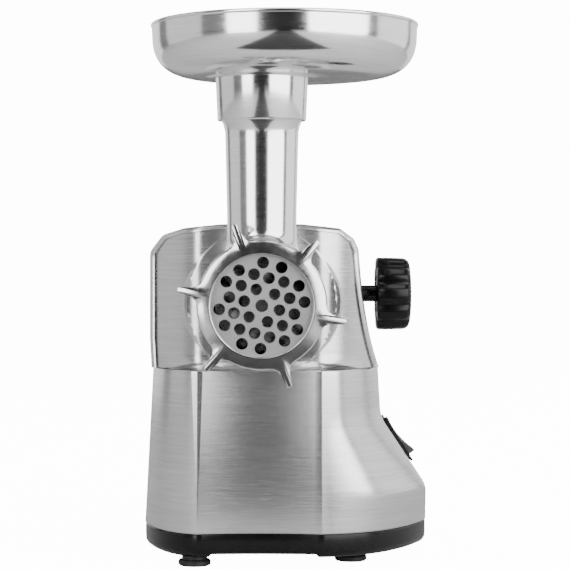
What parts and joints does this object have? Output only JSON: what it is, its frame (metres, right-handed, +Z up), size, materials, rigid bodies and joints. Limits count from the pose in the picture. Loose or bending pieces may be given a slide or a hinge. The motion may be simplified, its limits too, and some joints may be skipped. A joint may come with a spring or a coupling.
{
  "type": "electric meat grinder",
  "caption": "Electric meat grinder: round lift-off tray, feed tube, screw ring with lugs over a holed plate, clamp knob, rocker switch and brushed steel base on rubber feet.",
  "frame": {"origin": "centre of the overall box in plan, on the surface that the feet stand on", "axes": "+Z up, the grinding end faces -Y, the clamp knob and the switch are on the +X side"},
  "size_m": [0.17, 0.3, 0.3105],
  "materials": {
    "polished_steel": "satin polished stainless steel",
    "brushed_steel": "horizontally brushed stainless steel",
    "cast_aluminium": "satin machined and tumbled casting",
    "plate_steel": "fine ground steel",
    "dark_steel": "machined, lightly oiled steel",
    "cast_steel": "tinned casting",
    "zinc_steel": "bright zinc",
    "bronze": "sintered bronze or brass",
    "copper_winding": "enamelled copper",
    "white_nylon": "natural nylon",
    "black_plastic": "black moulded plastic",
    "gloss_black": "glossy black moulded plastic",
    "grey_plastic": "dark grey moulded plastic",
    "black_rubber": "matt rubber"
  },
  "bodies": {
    "base": {"head_socket": "cast_aluminium", "socket_screws": "zinc_steel", "output_front_bush": "bronze", "output_rear_bush": "bronze", "second_gear_shaft": "zinc_steel", "first_gear_shaft": "zinc_steel", "front_bearing": "zinc_steel", "rear_bearing": "zinc_steel", "motor_front_bracket": "cast_aluminium", "motor_rear_bracket": "cast_aluminium", "stator_core": "dark_steel", "field_coils": "copper_winding", "brush_holders": "bronze", "carbon_brushes": "black_plastic", "brush_springs": "zinc_steel", "motor_screws": "zinc_steel", "gearbox_housing": "cast_aluminium", "gearbox_cover": "cast_aluminium", "gearbox_screws": "zinc_steel", "motor_cushions": "black_rubber", "housing_shell": "brushed_steel", "front_panel": "brushed_steel", "rear_cover": "black_plastic", "base_skirt": "black_plastic", "bottom_plate": "black_plastic", "bottom_screws": "zinc_steel", "rear_cover_screws": "zinc_steel", "cord_gland": "black_rubber", "terminal_block": "white_nylon", "foot_front_left": "black_rubber", "foot_front_right": "black_rubber", "foot_rear_left": "black_rubber", "foot_rear_right": "black_rubber", "switch_body": "black_plastic", "clamp_bush": "bronze"},
    "output": {"output_shaft": "dark_steel", "output_gear": "dark_steel"},
    "second_stage": {"second_gear": "dark_steel"},
    "first_stage": {"first_gear": "white_nylon"},
    "rotor": {"motor_pinion": "dark_steel", "motor_shaft": "zinc_steel", "rotor_core": "copper_winding", "commutator": "copper_winding", "cooling_fan": "white_nylon"},
    "tray": {"hopper_tray": "polished_steel"},
    "head": {"grinding_head": "cast_aluminium", "plate_key": "dark_steel", "thrust_washer": "white_nylon"},
    "auger": {"auger": "cast_steel", "drive_coupling": "white_nylon", "coupling_screw": "zinc_steel", "cutting_knife": "polished_steel"},
    "plate": {"grinding_plate": "plate_steel"},
    "ring": {"screw_ring": "cast_aluminium"},
    "clamp_shoe": {"clamp_pad": "bronze"},
    "knob": {"clamp_knob": "gloss_black", "clamp_screw": "black_plastic"},
    "rocker": {"switch_rocker": "grey_plastic"}
  },
  "joints": [
    {"name": "tray_lift", "type": "slide", "parent": "head", "child": "tray", "axis": [0, 0, 1], "range_m": [0, 0.06]},
    {"name": "head_pull", "type": "slide", "parent": "base", "child": "head", "axis": [0, -1, 0], "range_m": [0, 0.08]},
    {"name": "ring_travel", "type": "slide", "parent": "head", "child": "plate", "axis": [0, -1, 0], "range_m": [0, 0.018]},
    {"name": "ring_turn", "type": "hinge", "parent": "plate", "child": "ring", "pos_m": [-0.0147, -0.105, 0.1535], "axis": [0, 1, 0], "range_deg": [-1625, 5]},
    {"name": "rotor_spin", "type": "hinge", "parent": "base", "child": "rotor", "pos_m": [-0.00198, 0.08, 0.07197], "axis": [0, 1, 0], "continuous": true},
    {"name": "first_gear_spin", "type": "hinge", "parent": "base", "child": "first_stage", "pos_m": [-0.01548, 0.03, 0.09535], "axis": [0, 1, 0], "continuous": true},
    {"name": "second_gear_spin", "type": "hinge", "parent": "base", "child": "second_stage", "pos_m": [0.0063, 0.035, 0.11713], "axis": [0, 1, 0], "continuous": true},
    {"name": "output_spin", "type": "hinge", "parent": "base", "child": "output", "pos_m": [-0.0147, 0.03, 0.1535], "axis": [0, 1, 0], "continuous": true},
    {"name": "auger_spin", "type": "hinge", "parent": "head", "child": "auger", "pos_m": [-0.0147, -0.06, 0.1535], "axis": [0, 1, 0], "continuous": true},
    {"name": "clamp_travel", "type": "slide", "parent": "base", "child": "clamp_shoe", "axis": [1, 0, 0], "range_m": [0, 0.004]},
    {"name": "knob_turn", "type": "hinge", "parent": "clamp_shoe", "child": "knob", "pos_m": [0.06, -0.003, 0.158], "axis": [1, 0, 0], "range_deg": [-5, 965]},
    {"name": "switch_tilt", "type": "hinge", "parent": "base", "child": "rocker", "pos_m": [0.06334, 0.03, 0.06513], "axis": [0, 1, 0], "range_deg": [0, 12]}
  ],
  "couplings": [
    {"joint": "first_gear_spin", "follows": "rotor_spin", "ratio": -0.25},
    {"joint": "second_gear_spin", "follows": "rotor_spin", "ratio": 0.068182},
    {"joint": "output_spin", "follows": "rotor_spin", "ratio": -0.018595},
    {"joint": "auger_spin", "follows": "rotor_spin", "ratio": -0.018595},
    {"joint": "ring_turn", "follows": "ring_travel", "rad_per_m": -1570.8},
    {"joint": "knob_turn", "follows": "clamp_travel", "rad_per_m": 4188.8}
  ]
}
